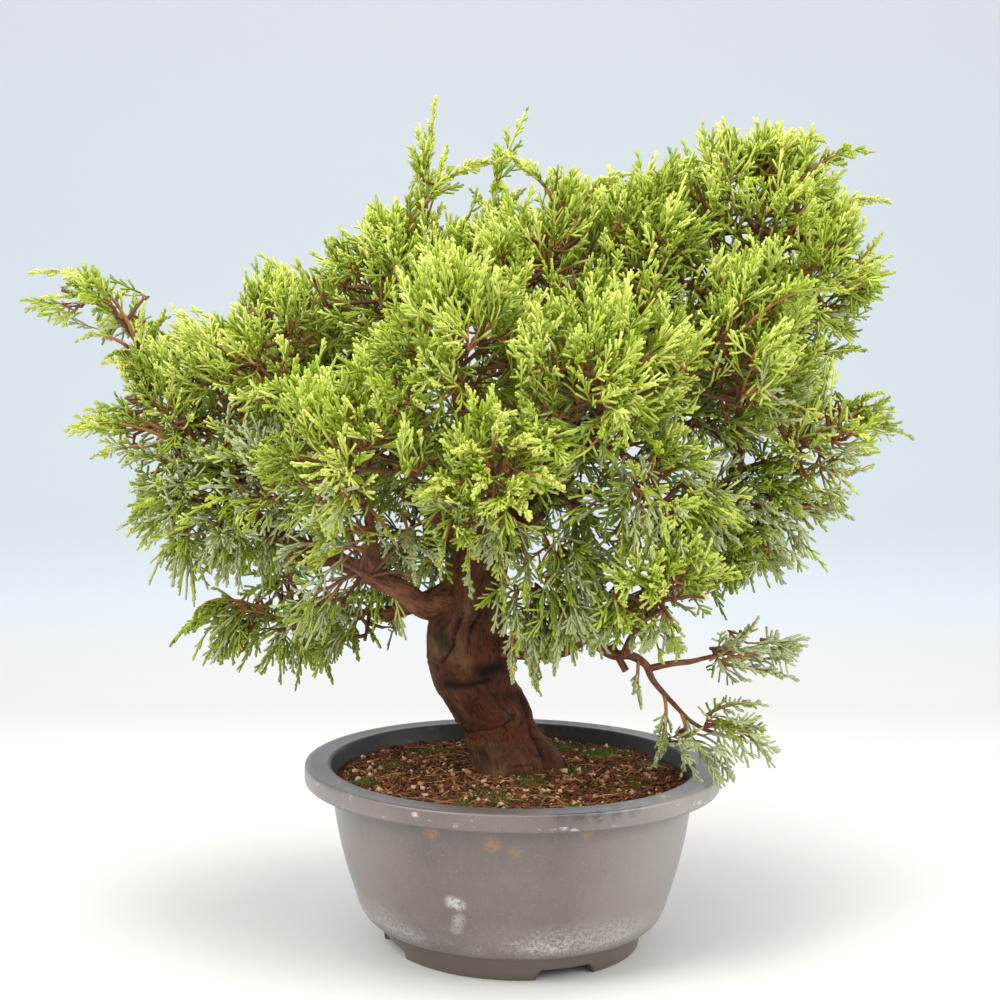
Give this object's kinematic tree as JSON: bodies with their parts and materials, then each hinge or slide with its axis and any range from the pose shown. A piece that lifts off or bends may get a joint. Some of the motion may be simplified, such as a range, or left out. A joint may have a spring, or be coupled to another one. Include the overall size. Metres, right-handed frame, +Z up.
{
  "type": "juniper bonsai in its pot",
  "caption": "Small juniper trained as a bonsai: bent trunk, spreading boughs and dense green scale foliage, standing in an oval grey plastic pot filled with soil.",
  "frame": {"origin": "on the ground under the middle of the whole plant's box", "axes": "+Z up, +X to the viewer's right and +Y away from the viewer, with the plant seen as in the picture"},
  "size_m": [0.5088, 0.2906, 0.5025],
  "materials": {
    "pot_plastic": "dusty matte",
    "soil": "loose grit and bark",
    "bark": "flaking bark",
    "foliage_bright": "scale leaves",
    "foliage_mid": "scale leaves",
    "foliage_grey": "scale leaves",
    "foliage_dark": "scale leaves"
  },
  "bodies": {
    "root": {"pot": "pot_plastic", "soil": "soil", "trunk": "bark", "bough_left": "bark", "bough_back_left": "bark", "bough_right": "bark", "bough_cascade": "bark", "bough_cascade_side": "bark", "bough_low_right": "bark", "bough_low_middle": "bark", "bough_right_inner": "bark", "bough_right_under": "bark", "bough_right_middle": "bark", "bough_left_under": "bark", "bough_left_middle": "bark", "bough_left_low_tip": "bark", "bough_left_inner": "bark", "bough_left_front": "bark", "bough_front_middle": "bark", "bough_front_top": "bark", "bough_front_right": "bark", "bough_left_top": "bark", "bough_left_spire": "bark", "bough_middle_spire": "bark", "bough_top_left": "bark", "bough_top_middle": "bark", "bough_right_shoulder": "bark", "bough_back_left_top": "bark", "bough_back_low": "bark", "bough_back_top": "bark", "bough_back_right": "bark", "foliage_apex": "foliage_bright", "foliage_right_shoulder": "foliage_bright", "foliage_top_middle": "foliage_bright", "foliage_top_left": "foliage_bright", "foliage_left_spire": "foliage_bright", "foliage_middle_spire": "foliage_bright", "foliage_left_top": "foliage_bright", "foliage_left_middle": "foliage_bright", "foliage_left_tip": "foliage_bright", "foliage_left_low_tip": "foliage_bright", "foliage_left_under": "foliage_grey", "foliage_left_inner": "foliage_grey", "foliage_back_under": "foliage_dark", "foliage_front_left": "foliage_mid", "foliage_front_top": "foliage_bright", "foliage_front_middle": "foliage_bright", "foliage_front_right": "foliage_bright", "foliage_right_middle": "foliage_bright", "foliage_right_inner": "foliage_mid", "foliage_right_tip": "foliage_mid", "foliage_right_under": "foliage_grey", "foliage_low_right": "foliage_bright", "foliage_low_middle": "foliage_grey", "foliage_cascade": "foliage_grey", "foliage_cascade_side": "foliage_grey", "foliage_back_top": "foliage_dark", "foliage_back_right": "foliage_dark", "foliage_back_left": "foliage_dark", "foliage_back_low": "foliage_dark"}
  },
  "joints": []
}
